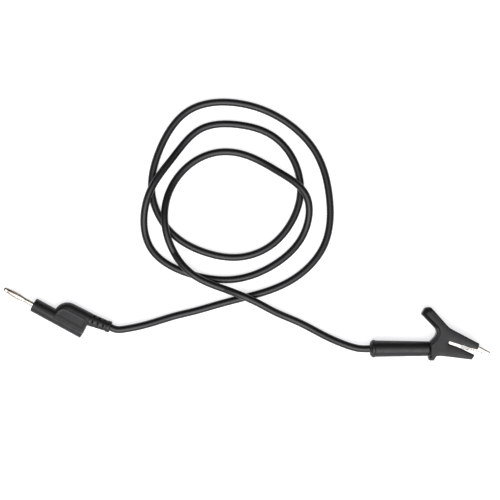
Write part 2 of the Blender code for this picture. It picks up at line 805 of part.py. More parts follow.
plug_frame = new_frame("plug_axis", (*PLUG_SHOULDER, BARREL_RADIUS), PLUG_TURN)
relief_frame = new_frame("strain_relief_axis", (BODY_LENGTH, RELIEF_ROOT_Y, 0), RELIEF_TURN, plug_frame)
clip_frame = new_frame("clip_axis", (*CLIP_SLEEVE_END, BOOT_HALF_WIDTH))
pivot_frame = new_frame("clip_pivot_axis", (*PIVOT, 0), 0.0, clip_frame)

make_plug_body(plug_frame, relief_frame)
make_pin(plug_frame)
make_lantern(plug_frame)
make_contacts(plug_frame)
make_plug_cable_end(relief_frame)
make_strain_relief(plug_frame, relief_frame)
make_lower_jaw(clip_frame, pivot_frame)
make_upper_jaw(clip_frame, pivot_frame)
make_rivet(pivot_frame)
make_spring(pivot_frame)
make_lower_boot(clip_frame)
make_upper_boot(clip_frame)
make_sleeve(clip_frame)
make_clip_cable_end(clip_frame)
make_cable(plug_frame, relief_frame, clip_frame)
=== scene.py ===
"""Looks of the alligator clip lead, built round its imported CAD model.

Pieces are drawn in millimetres in the plug's or the clip's own axes, X along the plug from its
front shoulder to the rear, and X along the clip from the sleeve to the jaws. add_piece scales
them to metres.
"""

import json
import math

import bmesh
import bpy
import numpy as np
from mathutils import Matrix, Vector
from mathutils.geometry import delaunay_2d_cdt


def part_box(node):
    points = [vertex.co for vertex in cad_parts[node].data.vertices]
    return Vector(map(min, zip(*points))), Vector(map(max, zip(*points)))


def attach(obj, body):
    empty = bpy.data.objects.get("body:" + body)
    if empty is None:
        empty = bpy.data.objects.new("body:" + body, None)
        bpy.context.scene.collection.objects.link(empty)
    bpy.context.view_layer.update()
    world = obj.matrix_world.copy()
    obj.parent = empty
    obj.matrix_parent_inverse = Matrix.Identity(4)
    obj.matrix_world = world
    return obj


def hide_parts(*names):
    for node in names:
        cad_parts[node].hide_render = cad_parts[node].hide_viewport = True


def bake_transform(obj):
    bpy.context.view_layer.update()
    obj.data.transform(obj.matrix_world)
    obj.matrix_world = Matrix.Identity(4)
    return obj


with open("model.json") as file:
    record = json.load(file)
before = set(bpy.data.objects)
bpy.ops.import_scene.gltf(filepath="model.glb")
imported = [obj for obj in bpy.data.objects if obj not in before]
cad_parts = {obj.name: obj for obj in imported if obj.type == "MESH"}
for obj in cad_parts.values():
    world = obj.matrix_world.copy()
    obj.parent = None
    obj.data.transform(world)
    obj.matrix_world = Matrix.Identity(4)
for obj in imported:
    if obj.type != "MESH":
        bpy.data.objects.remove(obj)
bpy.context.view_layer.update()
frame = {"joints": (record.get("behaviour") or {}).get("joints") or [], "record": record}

MM = 0.001
RECORD = frame["record"]
MOUNTS = {mount["name"]: mount for mount in RECORD["mounts"]}
JOINT = frame["joints"][0]

# Plug
BARREL_RADIUS = 4.05
BODY_LENGTH = 32.5
BODY_BORE = 3.05
FRONT_WALL = 1.2
PIN_HOLE = 1.75
PIN_LENGTH = 19.4
PIN_RADIUS = 1.45
PIN_CORE = 1.05
PIN_NECK = 5.2
PIN_HEAD = 1.4
PIN_STUB = 9.0
CONTACT_RADIUS = 2.75
SOCKET_BORE = 2.05
SOCKET_DEPTH = 18.8
HUMP_HALF = 3.8
HUMP_REAR = BODY_LENGTH - 0.05
RELIEF_ROOT = (BODY_LENGTH, 7.9, 0)
RELIEF_TURN = math.radians(7.9)
RELIEF_LENGTH = 12.6

# Clip
PIVOT = Vector((5.6, 5.05, 0))
MOUTH_TURN = math.radians(-16.0)
JAW_LENGTH = 28.9
THROAT_START = 12.4
THROAT_HALF = 1.4
TEETH_START = 17.0
SHEET = 0.6
BOOT_HALF = 5.25
SLEEVE_LENGTH = 34.2

# Cable: its thickness, the holes for it, and the points of its route in millimetres on the bench
CABLE_RADIUS = 2.1
CABLE_REST = 2.15
CABLE_HOLE = 2.45
CROSSING_CLEARANCE = 1.15
CROSSING_REACH = 28.0
COIL_CENTRE = (-4.5, 73.3)
COIL_START = math.radians(-90.0)
COIL_STEP = math.radians(30.0)
COIL_RADII = (
    (58.9, 56.7, 56.0, 51.3, 50.2, 50.1, 52.9, 56.8, 52.8, 50.0, 44.0, 37.7),
    (35.1, 33.7, 33.2, 34.7, 36.8, 39.1, 40.6, 44.2, 43.9, 52.0, 59.0, 52.4),
    (47.3, 43.9, 42.6, 38.0, 26.5, 23.0, 24.3, 28.4, 34.1, 41.0, 47.4, 52.3),
)
PLUG_TAIL = ((-70.2, -2.9), (-55.9, 0.2), (-41.7, 4.5), (-29.1, 7.6), (-20.4, 10.1))
CLIP_TAIL = ((-10.2, 19.0), (6.9, 11.6), (15.5, 7.0), (29.8, 0.7), (44.1, -6.7), (57.1, -12.2))


# Frames of the plug and the clip -------------------------------------------------------------

def local_axes(origin, turn=0.0):
    return Matrix.Translation(Vector(origin)) @ Matrix.Rotation(turn, 4, "Z")


def middle_height(node):
    low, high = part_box(node)
    return (low.z + high.z) / 2 / MM


shoulder = MOUNTS["plug_shoulder"]
plug_origin = [value / MM for value in shoulder["pos_m"][:2]] + [middle_height("plug_core_pin")]
PLUG = local_axes(plug_origin, math.atan2(-shoulder["axis"][1], -shoulder["axis"][0]))
RELIEF = PLUG @ local_axes(RELIEF_ROOT, RELIEF_TURN)
pivot_world = Vector(JOINT["pos_m"]) / MM
CLIP = local_axes(pivot_world - PIVOT)
HINGE = local_axes(pivot_world)


# Camera, light and floor ---------------------------------------------------------------------

def add_camera():
    """Straight above the bench, a metre up, so that the picture is 286 mm wide."""
    height = 1.0
    width = 0.2857
    focus_height = 4 * MM
    centre = (1.45 * MM, 42.3 * MM)
    data = bpy.data.cameras.new("camera")
    data.sensor_width = 36.0
    data.lens = data.sensor_width * (height - focus_height) / width
    data.clip_end = 20.0
    camera = bpy.data.objects.new("camera", data)
    camera.location = (*centre, height)
    bpy.context.scene.collection.objects.link(camera)
    bpy.context.scene.camera = camera


def add_softbox(name, location, size, power, aim=(0, 0.04, 0)):
    """A square lamp that faces the middle of the lead."""
    data = bpy.data.lights.new(name, "AREA")
    data.shape = "SQUARE"
    data.size = size
    data.energy = power
    lamp = bpy.data.objects.new(name, data)
    lamp.location = location
    lamp.rotation_euler = (Vector(aim) - Vector(location)).to_track_quat("-Z", "Y").to_euler()
    bpy.context.scene.collection.objects.link(lamp)


def add_world():
    """A dim studio with a large soft glow overhead, a little to the front."""
    horizon = 0.05
    overhead = 5.5
    narrowing = 5.0
    tilt = math.radians(32)
    world = bpy.data.worlds.new("studio")
    world.use_nodes = True
    tree = world.node_tree
    direction = tree.nodes.new("ShaderNodeTexCoord")
    towards = tree.nodes.new("ShaderNodeVectorMath")
    towards.operation = "DOT_PRODUCT"
    towards.inputs[1].default_value = (0, -math.sin(tilt), math.cos(tilt))
    tree.links.new(direction.outputs["Generated"], towards.inputs[0])
    upper = tree.nodes.new("ShaderNodeMath")
    upper.operation = "MAXIMUM"
    upper.inputs[1].default_value = 0.0
    tree.links.new(towards.outputs["Value"], upper.inputs[0])
    falloff = tree.nodes.new("ShaderNodeMath")
    falloff.operation = "POWER"
    falloff.inputs[1].default_value = narrowing
    tree.links.new(upper.outputs["Value"], falloff.inputs[0])
    strength = tree.nodes.new("ShaderNodeMath")
    strength.operation = "MULTIPLY_ADD"
    strength.inputs[1].default_value = overhead
    strength.inputs[2].default_value = horizon
    tree.links.new(falloff.outputs["Value"], strength.inputs[0])
    background = tree.nodes["Background"]
    background.inputs["Color"].default_value = (0.97, 0.97, 1.0, 1)
    tree.links.new(strength.outputs["Value"], background.inputs["Strength"])
    bpy.context.scene.world = world


def add_floor():
    """White paper that glows a little, so that the shadows on it stay faint."""
    mesh = bpy.data.meshes.new("floor")
    work = bmesh.new()
    bmesh.ops.create_grid(work, x_segments=1, y_segments=1, size=4.0)
    work.to_mesh(mesh)
    work.free()
    floor = bpy.data.objects.new("floor", mesh)
    bpy.context.scene.collection.objects.link(floor)
    paper = bpy.data.materials.new("white paper")
    paper.use_nodes = True
    shader = paper.node_tree.nodes["Principled BSDF"]
    shader.inputs["Base Color"].default_value = (0.5, 0.5, 0.51, 1)
    shader.inputs["Roughness"].default_value = 0.9
    shader.inputs["Specular IOR Level"].default_value = 0.1
    shader.inputs["Emission Color"].default_value = (1, 1, 1, 1)
    shader.inputs["Emission Strength"].default_value = 0.68
    mesh.materials.append(paper)


add_camera()
add_world()
add_softbox("key", location=(-0.14, -0.70, 0.95), size=0.8, power=4.0)
add_floor()
bpy.context.scene.view_settings.view_transform = "Standard"


# Materials -----------------------------------------------------------------------------------

class Surface:
    """A procedural material, put together from noise in the object's own coordinates."""

    def __init__(self, name, roughness, metallic=0.0):
        self.material = bpy.data.materials.new(name)
        self.material.use_nodes = True
        self.tree = self.material.node_tree
        self.shader = self.tree.nodes["Principled BSDF"]
        self.shader.inputs["Metallic"].default_value = metallic
        self.shader.inputs["Roughness"].default_value = roughness
        self.place = self.tree.nodes.new("ShaderNodeTexCoord").outputs["Object"]
        self.bump = None

    def link(self, output, socket):
        self.tree.links.new(output, socket)

    def stretched(self, scale, turn=0.0):
        node = self.tree.nodes.new("ShaderNodeMapping")
        node.inputs["Scale"].default_value = scale
        node.inputs["Rotation"].default_value = (0, 0, turn)
        self.link(self.place, node.inputs["Vector"])
        return node.outputs["Vector"]

    def noise(self, size_mm, detail=3.0, place=None, roughness=0.5):
        node = self.tree.nodes.new("ShaderNodeTexNoise")
        node.inputs["Scale"].default_value = 1 / (size_mm * MM)
        node.inputs["Detail"].default_value = detail
        node.inputs["Roughness"].default_value = roughness
        self.link(place or self.place, node.inputs["Vector"])
        return node.outputs["Fac"]

    def spread(self, value, low, high, start=0.3, end=0.7):
        """Map a noise value to a number between low and high."""
        node = self.tree.nodes.new("ShaderNodeMapRange")
        for socket, number in zip(("From Min", "From Max", "To Min", "To Max"), (start, end, low, high)):
            node.inputs[socket].default_value = number
        self.link(value, node.inputs["Value"])
        return node.outputs["Result"]

    def mix(self, share, first, second):
        node = self.tree.nodes.new("ShaderNodeMix")
        node.data_type = "RGBA"
        self.link(share, node.inputs["Factor"])
        for socket, colour in ((node.inputs["A"], first), (node.inputs["B"], second)):
            if isinstance(colour, tuple):
                socket.default_value = (*colour, 1)
            else:
                self.link(colour, socket)
        return node.outputs["Result"]

    def add_bump(self, height, depth_mm, strength=1.0):
        node = self.tree.nodes.new("ShaderNodeBump")
        node.inputs["Distance"].default_value = depth_mm * MM
        node.inputs["Strength"].default_value = strength
        self.link(height, node.inputs["Height"])
        if self.bump:
            self.link(self.bump, node.inputs["Normal"])
        self.bump = node.outputs["Normal"]
        self.link(self.bump, self.shader.inputs["Normal"])

    def colour(self, output):
        self.link(output, self.shader.inputs["Base Color"])

    def roughness(self, output):
        self.link(output, self.shader.inputs["Roughness"])


def moulded_pvc():
    """Soft black PVC from a lightly grained mould, with handling marks."""
    surface = Surface("moulded black PVC", 0.45)
    mottle = surface.spread(surface.noise(6.0), 0, 1)
    dark = surface.mix(mottle, (0.0052, 0.0048, 0.0050), (0.0085, 0.0078, 0.0080))
    scuff = surface.spread(surface.noise(1.3, 5.0, surface.stretched((1, 4, 1), 0.6)), 0, 0.5, 0.62, 0.8)
    surface.colour(surface.mix(scuff, dark, (0.020, 0.0185, 0.019)))
    surface.shader.inputs["Specular IOR Level"].default_value = 0.31
    surface.roughness(surface.spread(surface.noise(2.2, 4.0), 0.36, 0.5))
    surface.add_bump(surface.noise(0.22, 2.0), 0.008)
    surface.add_bump(surface.noise(2.5, 2.0), 0.03)
    return surface.material


def cable_pvc():
    """Smooth extruded jacket, glossier than the mouldings."""
    surface = Surface("black cable PVC", 0.3)
    mottle = surface.spread(surface.noise(9.0), 0, 1)
    surface.colour(surface.mix(mottle, (0.0035, 0.0034, 0.0035), (0.006, 0.0057, 0.006)))
    surface.shader.inputs["Specular IOR Level"].default_value = 0.31
    surface.roughness(surface.spread(surface.noise(3.0, 3.0), 0.26, 0.34))
    surface.add_bump(surface.noise(0.6, 2.0), 0.0025)
    surface.add_bump(surface.noise(9.0, 1.0), 0.03)
    return surface.material


def metal(name, bright, dull, roughness, grain=(1, 1, 1), turn=0.0):
    """Plated or drawn metal, with fine lines along one direction and a faint bloom."""
    surface = Surface(name, roughness, 1.0)
    bloom = surface.spread(surface.noise(2.4, 4.0), 0, 1)
    surface.colour(surface.mix(bloom, bright, dull))
    surface.roughness(surface.spread(surface.noise(0.9, 4.0), roughness * 0.75, roughness * 1.35))
    lines = surface.noise(0.35, 3.0, surface.stretched(grain, turn))
    surface.add_bump(lines, 0.006)
    return surface.material


BLACK_PVC = moulded_pvc()
CABLE_PVC = cable_pvc()
NICKEL = metal("nickel plate", (0.64, 0.59, 0.53), (0.54, 0.49, 0.43), 0.15, (1, 6, 6))
STEEL = metal("spring steel", (0.58, 0.58, 0.60), (0.42, 0.42, 0.43), 0.28)
BRASS = metal("turned brass", (0.80, 0.60, 0.30), (0.62, 0.45, 0.22), 0.27, (8, 1, 1))
COPPER = metal("tinned copper wire", (0.83, 0.50, 0.36), (0.75, 0.68, 0.62), 0.3)


# Mesh helpers --------------------------------------------------------------------------------

def shade(mesh, angle=38):
    mesh.shade_smooth()
    mesh.set_sharp_from_angle(angle=math.radians(angle))


def add_piece(name, points, faces, place, material):
    """An object from points in millimetres, in the axes that place gives, with its normals out."""
    mesh = bpy.data.meshes.new(name)
    mesh.from_pydata([tuple(point) for point in points], [], faces)
    mesh.transform(Matrix.Scale(MM, 4) @ place)
    work = bmesh.new()
    work.from_mesh(mesh)
    bmesh.ops.remove_doubles(work, verts=work.verts, dist=1e-6)
    bmesh.ops.dissolve_degenerate(work, edges=work.edges, dist=1e-7)
    bmesh.ops.recalc_face_normals(work, faces=work.faces)
    work.to_mesh(mesh)
    work.free()
    mesh.materials.append(material)
    shade(mesh)
    piece = bpy.data.objects.new(name, mesh)
    bpy.context.scene.collection.objects.link(piece)
    return piece


def combine(piece, tools, operation="DIFFERENCE"):
    """Cut the tools out of a piece, or join them to it, and drop the tools."""
    for tool in tools:
        modifier = piece.modifiers.new(tool.name, "BOOLEAN")
        modifier.operation = operation
        modifier.object = tool
    graph = bpy.context.evaluated_depsgraph_get()
    mesh = bpy.data.meshes.new_from_object(piece.evaluated_get(graph))
    piece.modifiers.clear()
    piece.data = mesh
    for tool in tools:
        bpy.data.objects.remove(tool, do_unlink=True)
    shade(mesh)
    return piece


def rounded(corners, closed=True):
    """Outline through corners of (x, y, radius), each rounded by an arc of its radius."""
    outline = []
    last = len(corners) - 1
    for i, (x, y, radius) in enumerate(corners):
        here = Vector((x, y))
        if not radius or (not closed and i in (0, last)):
            outline.append((x, y))
            continue
        back = (Vector(corners[i - 1][:2]) - here).normalized()
        ahead = (Vector(corners[(i + 1) % len(corners)][:2]) - here).normalized()
        half = back.angle(ahead) / 2
        centre = here + (back + ahead).normalized() * radius / math.sin(half)
        first = here + back * radius / math.tan(half) - centre
        final = here + ahead * radius / math.tan(half) - centre
        start = math.atan2(first.y, first.x)
        sweep = math.atan2(final.y, final.x) - start
        sweep = (sweep + math.pi) % (2 * math.pi) - math.pi
        steps = max(3, round(abs(sweep) / math.radians(12)))
        for step in range(steps + 1):
            angle = start + sweep * step / steps
            outline.append((centre.x + radius * math.cos(angle), centre.y + radius * math.sin(angle)))
    return outline


def arc(centre, radius, start, end, steps):
    """Points on a circle, from one angle to another in degrees."""
    angles = [math.radians(start + (end - start) * i / steps) for i in range(steps + 1)]
    return [(centre[0] + radius * math.cos(a), centre[1] + radius * math.sin(a)) for a in angles]


def turned(name, profile, place, material, sides=72, closed=False):
    """A piece turned about X from a profile of (along, radius)."""
    points = []
    rings = []
    for along, radius in profile:
        if radius < 1e-6:
            rings.append([len(points)] * sides)
            points.append((along, 0, 0))
            continue
        rings.append(list(range(len(points), len(points) + sides)))
        for i in range(sides):
            angle = 2 * math.pi * i / sides
            points.append((along, radius * math.cos(angle), radius * math.sin(angle)))
    faces = []
    pairs = list(zip(rings, rings[1:])) + ([(rings[-1], rings[0])] if closed else [])
    for first, second in pairs:
        for i in range(sides):
            j = (i + 1) % sides
            corners = [first[i], second[i], second[j], first[j]]
            face = list(dict.fromkeys(corners))
            if len(face) > 2:
                faces.append(face)
    return add_piece(name, points, faces, place, material)


def turned_tube(name, start, end, bore, radius, place, material, edge=0.12, sides=72):
    corners = [(start, bore, edge), (start, radius, edge), (end, radius, edge), (end, bore, edge)]
    return turned(name, rounded(corners), place, material, sides, closed=True)


def prism(name, outline, bottom, top, place, material=None):
    """A plain block with a flat outline, mostly for cutting."""
    count = len(outline)
    points = [(x, y, z) for z in (bottom, top) for x, y in outline]
    faces = [list(range(count)), list(range(count, 2 * count))]
    faces += [[i, (i + 1) % count, count + (i + 1) % count, count + i] for i in range(count)]
    return add_piece(name, points, faces, place, material or BLACK_PVC)


def bar(name, path, radius, place, material, sides=16):
    """A round bar along a path of points."""
    path = np.array(path, float)
    along = np.gradient(path, axis=0)
    along /= np.linalg.norm(along, axis=1)[:, None]
    normal = np.cross(along[0], (0, 0, 1) if abs(along[0][2]) < 0.9 else (1, 0, 0))
    angles = 2 * math.pi * np.arange(sides) / sides
    points = []
    for centre, direction in zip(path, along):
        normal = normal - direction * (normal @ direction)
        normal /= np.linalg.norm(normal)
        other = np.cross(direction, normal)
        ring = np.outer(np.cos(angles), normal) + np.outer(np.sin(angles), other)
        points.extend(centre + radius * ring)
    faces = [list(range(sides)), list(range(len(points) - sides, len(points)))]
    for i in range(len(path) - 1):
        for j in range(sides):
            k = (j + 1) % sides
            faces.append([i * sides + j, i * sides + k, (i + 1) * sides + k, (i + 1) * sides + j])
    return add_piece(name, points, faces, place, material)


def distance(points, path, closed=False):
    """How far each point is from a polyline."""
    path = np.array(path, float)
    ends = np.roll(path, -1, axis=0) if closed else path[1:]
    nearest = np.full(len(points), 1e9)
    for start, end in zip(path, ends):
        span = end - start
        share = np.clip((points - start) @ span / max(span @ span, 1e-12), 0, 1)
        gap = points - start - share[:, None] * span
        nearest = np.minimum(nearest, np.hypot(gap[:, 0], gap[:, 1]))
    return nearest


def inside(points, outline):
    """Which points lie within a closed outline, by counting crossings."""
    within = np.zeros(len(points), bool)
    ends = np.roll(outline, -1, axis=0)
    for (x0, y0), (x1, y1) in zip(outline, ends):
        if y0 == y1:
            continue
        crosses = (y0 > points[:, 1]) != (y1 > points[:, 1])
        within ^= crosses & (points[:, 0] < (x1 - x0) * (points[:, 1] - y0) / (y1 - y0) + x0)
    return within


def resample(outline, spacing):
    """Split the long edges of a closed outline, and turn it anticlockwise."""
    points = []
    for (x0, y0), (x1, y1) in zip(outline, outline[1:] + outline[:1]):
        steps = max(1, round(math.hypot(x1 - x0, y1 - y0) / spacing))
        points += [(x0 + (x1 - x0) * i / steps, y0 + (y1 - y0) * i / steps) for i in range(steps)]
    points = np.array(points)
    ahead = np.roll(points, -1, axis=0)
    area = (points[:, 0] * ahead[:, 1] - ahead[:, 0] * points[:, 1]).sum()
    return points if area > 0 else points[::-1]


def moulding(name, outline, height, place, material, rings=(), spacing=0.5):
    """A piece the same on both sides of its middle plane, as thick as twice height(points).

    rings are the distances from the outline at which the surface gets rows of points."""
    edge = resample(outline, spacing)
    tangent = np.roll(edge, -1, axis=0) - np.roll(edge, 1, axis=0)
    tangent /= np.linalg.norm(tangent, axis=1)[:, None]
    inward = np.stack([-tangent[:, 1], tangent[:, 0]], axis=1)
    parts = [edge]
    for depth in rings:
        ring = edge + inward * depth
        keep = inside(ring, edge) & (distance(ring, edge, True) > 0.96 * depth)
        parts.append(ring[keep])
    low, high = edge.min(axis=0), edge.max(axis=0)
    pitch = spacing * 1.5
    rows = np.arange(low[1], high[1], pitch * 0.87)
    columns = np.arange(low[0], high[0], pitch)
    grid = np.array([(x + (row % 2) * pitch / 2, y) for row, y in enumerate(rows) for x in columns])
    clear = (rings[-1] if len(rings) else 0) + 0.6 * pitch
    grid = grid[inside(grid, edge)]
    parts.append(grid[distance(grid, edge, True) > clear])
    flat = [Vector(point) for point in np.concatenate(parts)]
    made = delaunay_2d_cdt(flat, [], [list(range(len(edge)))], 1, 1e-7)
    flat = np.array([tuple(point) for point in made[0]])
    triangles = [list(face) for face in made[2]]
    thick = height(flat)
    count = len(flat)
    points = [(x, y, z) for (x, y), z in zip(flat, thick)] + [(x, y, -z) for (x, y), z in zip(flat, thick)]
    faces = triangles + [[i + count for i in reversed(face)] for face in triangles]
    uses = {}
    for face in triangles:
        for i, j in zip(face, face[1:] + face[:1]):
            uses[(i, j)] = True
    faces += [[i, i + count, j + count, j] for i, j in uses if (j, i) not in uses]
    return add_piece(name, points, faces, place, material)


def rim(depth, radius):
    """How far a rounded edge has dropped at a distance from the outline."""
    inner = np.clip(radius - depth, 0, radius)
    return radius - np.sqrt(radius ** 2 - inner ** 2)


def ease(value):
    value = np.clip(value, 0, 1)
    return value * value * (3 - 2 * value)


def rim_rows(radius, count=5):
    """Distances at which a rounded edge turns by equal angles."""
    return [radius * (1 - math.cos(math.pi / 2 * i / count)) for i in range(1, count + 1)]


def finished(piece, body, slot, *nodes):
    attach(piece, body)
    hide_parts(*nodes)
    return piece


# Cable ---------------------------------------------------------------------------------------

def smooth_curve(knots, samples):
    """A natural cubic spline through knots, read at samples points of equal spacing."""
    knots = np.array(knots, float)
    chord = np.concatenate(([0.0], np.cumsum(np.linalg.norm(np.diff(knots, axis=0), axis=1))))
    step = np.diff(chord)
    count = len(knots)
    system = np.eye(count)
    right = np.zeros_like(knots)
    for i in range(1, count - 1):
        system[i, i - 1:i + 2] = step[i - 1], 2 * (step[i - 1] + step[i]), step[i]
        rise = (knots[i + 1] - knots[i]) / step[i] - (knots[i] - knots[i - 1]) / step[i - 1]
        right[i] = 6 * rise
    bend = np.linalg.solve(system, right)
    fine = np.linspace(0, chord[-1], 8 * samples)
    index = np.clip(np.searchsorted(chord, fine) - 1, 0, count - 2)
    width = step[index][:, None]
    ahead = (fine - chord[index])[:, None] / width
    behind = 1 - ahead
    curve = behind * knots[index] + ahead * knots[index + 1]
    curve += (behind ** 3 - behind) * bend[index] * width ** 2 / 6
    curve += (ahead ** 3 - ahead) * bend[index + 1] * width ** 2 / 6
    along = np.concatenate(([0.0], np.cumsum(np.linalg.norm(np.diff(curve, axis=0), axis=1))))
    even = np.linspace(0, along[-1], samples)
    return np.stack([np.interp(even, along, curve[:, axis]) for axis in range(2)], axis=1), even


def coil_knots():
    """The turns of the coil, one knot at each step of the way round."""
    knots = []
    radii = [radius for turn in COIL_RADII for radius in turn]
    for i, radius in enumerate(radii):
        angle = COIL_START + COIL_STEP * i
        knots.append((COIL_CENTRE[0] + radius * math.cos(angle), COIL_CENTRE[1] + radius * math.sin(angle)))
    return knots


def rest_heights(path, along, start_height, end_height):
    """Height of the centre line: on the bench, up to both ends, and over what it crosses."""
    reach = 38.0
    heights = np.full(len(path), CABLE_REST)
    for share, height in ((along / reach, start_height), ((along[-1] - along) / reach, end_height)):
        fade = np.clip(1 - share, 0, 1)
        heights += (height - CABLE_REST) * fade * fade * (3 - 2 * fade)
    spacing = CROSSING_CLEARANCE * 2 * CABLE_RADIUS
    apart = np.linalg.norm(path[:, None] - path[None, :], axis=2)
    later = along[:, None] - along[None, :] > 8 * CABLE_RADIUS
    touching = later & (apart < spacing)
    lift = np.sqrt(np.clip(spacing ** 2 - apart ** 2, 0, None))
    share = np.clip(1 - np.abs(along[:, None] - along[None, :]) / CROSSING_REACH, 0, 1)
    hump = share * share * (3 - 2 * share)
    base = heights.copy()
    for _ in range(4):
        needed = np.where(touching, heights[None, :] + lift, 0).max(axis=1)
        over = np.clip(needed - base, 0, None)
        heights = base + (over[None, :] * hump).max(axis=1)
    return heights


def make_cable():
    """The free cable from the strain relief, straight out of it, round the coil and into the sleeve."""
    straight_at_plug = 3.3
    straight_at_clip = 5.3
    start = RELIEF @ Vector((RELIEF_LENGTH, 0, 0))
    beyond = RELIEF @ Vector((RELIEF_LENGTH + straight_at_plug, 0, 0))
    end = CLIP @ Vector((-SLEEVE_LENGTH, 0, 0))
    before = CLIP @ Vector((-SLEEVE_LENGTH - straight_at_clip, 0, 0))
    knots = [start[:2], beyond[:2], *PLUG_TAIL, *coil_knots(), *CLIP_TAIL, before[:2], end[:2]]
    flat, along = smooth_curve(knots, 1000)
    heights = rest_heights(flat, along, start.z, end.z)
    path = np.column_stack([flat, heights])
    cable = bar("cable", path, CABLE_RADIUS, Matrix(), CABLE_PVC, 24)
    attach(cable, "lead")
    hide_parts("cable_jacket")


make_cable()


# Plug ----------------------------------------------------------------------------------------

def make_plug_body():
    """A barrel with a hump for the cable beside it, and a flat pad with a low rim on both sides."""
    barrel = turned(
        "plug_body_moulding",
        rounded([
            (0, 0, 0),
            (0, BARREL_RADIUS, 0.45),
            (BODY_LENGTH, BARREL_RADIUS, 0.5),
            (BODY_LENGTH, 0, 0),
        ], closed=False),
        PLUG,
        BLACK_PVC,
        128,
    )
    crest = rounded([(12.2, -1.0, 0), (12.2, 11.2, 8.0), (BODY_LENGTH + 8, 11.85, 0)], closed=False)
    crest = [(x, y) for x, y in crest if x < BODY_LENGTH] + [(HUMP_REAR, 11.7)]

    def hump_height(points):
        rear = rim(HUMP_REAR - points[:, 0], 0.5)
        return np.maximum(HUMP_HALF - rim(distance(points, crest + [(40, 11.95)]), HUMP_HALF) - rear, 0)

    hump_outline = crest + [(HUMP_REAR, -1.0)]
    hump_rows = rim_rows(HUMP_HALF, 8)
    hump = moulding("hump", hump_outline, hump_height, PLUG, BLACK_PVC, hump_rows, 0.45)
    pad_outline = rounded([(14.0, -1.6, 1.0), (31.9, -1.6, 1.2), (31.9, 7.3, 2.2), (14.0, 7.1, 4.6)])

    pad_edge = 0.16
    pad_rim = 0.9
    panel_depth = 0.12
    panel_start = 1.3

    def pad_height(points):
        inset = distance(points, pad_outline, True)
        sunk = panel_depth * ease((inset - pad_rim) / 0.3) * ease((points[:, 1] - panel_start) / 0.6)
        return BARREL_RADIUS - rim(inset, pad_edge) - sunk

    pad_rows = rim_rows(pad_edge, 3) + [0.7, 0.95, 1.1, 1.25, 1.6]
    pad = moulding("pad", pad_outline, pad_height, PLUG, BLACK_PVC, pad_rows, 0.4)
    combine(barrel, [hump, pad], "UNION")
    bore = turned(
        "bore",
        [
            (-2, 0),
            (-2, PIN_HOLE),
            (FRONT_WALL, PIN_HOLE),
            (FRONT_WALL, BODY_BORE),
            (BODY_LENGTH + 2, BODY_BORE),
            (BODY_LENGTH + 2, 0),
        ],
        PLUG,
        BLACK_PVC,
        96,
    )
    branch_profile = [(-14.5, 0), (-14.5, CABLE_HOLE), (3, CABLE_HOLE), (3, 0)]
    branch = turned("branch", branch_profile, RELIEF, BLACK_PVC, 64)
    lug_slot = prism("lug_slot", [(18.3, 2.0), (21.3, 2.0), (21.3, 6.0), (18.3, 6.0)], -0.75, 0.75, PLUG)
    combine(barrel, [bore, branch, lug_slot])
    finished(barrel, "lead", "black_pvc", "plug_body")


def make_strain_relief():
    """A tapered boot round the cable, with rows of pockets all round it and a collar at its end."""
    start = -0.8
    tip = 3.1
    collar_radius = 3.35
    collar = RELIEF_LENGTH - 2.4
    rows = 6
    row_turn = math.radians(8)
    pockets_in_row = 3
    first_pocket = 1.35
    pocket_pitch = 3.2
    pocket_length = 1.1
    pocket_half = 0.9
    pocket_wall = 2.95
    pocket_floor = 2.5
    outside = 5.0
    cable_fit = 2.14
    profile = rounded([
        (start, CABLE_HOLE, 0),
        (start, 3.75, 0),
        (collar - 0.2, tip, 0.4),
        (collar + 0.1, collar_radius, 0.15),
        (RELIEF_LENGTH - 0.35, collar_radius, 0.7),
        (RELIEF_LENGTH, 2.8, 0.3),
        (RELIEF_LENGTH, cable_fit, 0.15),
        (RELIEF_LENGTH - 1.0, cable_fit, 0),
        (RELIEF_LENGTH - 1.0, CABLE_HOLE, 0),
    ])
    relief = turned("strain_relief_moulding", profile, RELIEF, BLACK_PVC, 96, closed=True)
    upright = Matrix.Rotation(math.radians(90), 4, "X")
    pockets = []
    for row in range(rows):
        place = RELIEF @ Matrix.Rotation(row_turn + 2 * math.pi * row / rows, 4, "X") @ upright
        for i in range(pockets_in_row):
            near = first_pocket + pocket_pitch * i
            far = near + pocket_length
            middle = (near + far) / 2
            groove = [(near, pocket_wall), (middle, pocket_floor), (far, pocket_wall)]
            outline = [(near, outside), *groove, (far, outside)]
            pockets.append(prism(f"pocket_{row}_{i}", outline, -pocket_half, pocket_half, place))
    rear = BODY_LENGTH + 0.02
    root = prism("root", [(20, -10), (rear, -10), (rear, 20), (20, 20)], -10, 10, PLUG)
    combine(relief, pockets + [root])
    finished(relief, "lead", "black_pvc", "plug_strain_relief")


def make_pin():
    """The turned core of the banana plug, from the round nose back to the stub in the bush."""
    head = -PIN_LENGTH + PIN_HEAD
    stub_radius = 1.25
    nose = [
        (head - PIN_HEAD * math.sin(math.radians(angle)), PIN_RADIUS * math.cos(math.radians(angle)))
        for angle in range(90, -1, -10)
    ]
    nose[0] = (-PIN_LENGTH, 0)
    body = rounded([
        (head, PIN_RADIUS, 0),
        (head, PIN_CORE, 0.1),
        (-PIN_NECK, PIN_CORE, 0.1),
        (-PIN_NECK, PIN_RADIUS, 0.15),
        (FRONT_WALL, PIN_RADIUS, 0),
        (FRONT_WALL, stub_radius, 0),
        (PIN_STUB, stub_radius, 0.3),
        (PIN_STUB, 0, 0),
    ], closed=False)
    pin = turned("banana_pin", nose + body[1:], PLUG, NICKEL, 64)
    finished(pin, "lead", "nickel", "plug_core_pin")


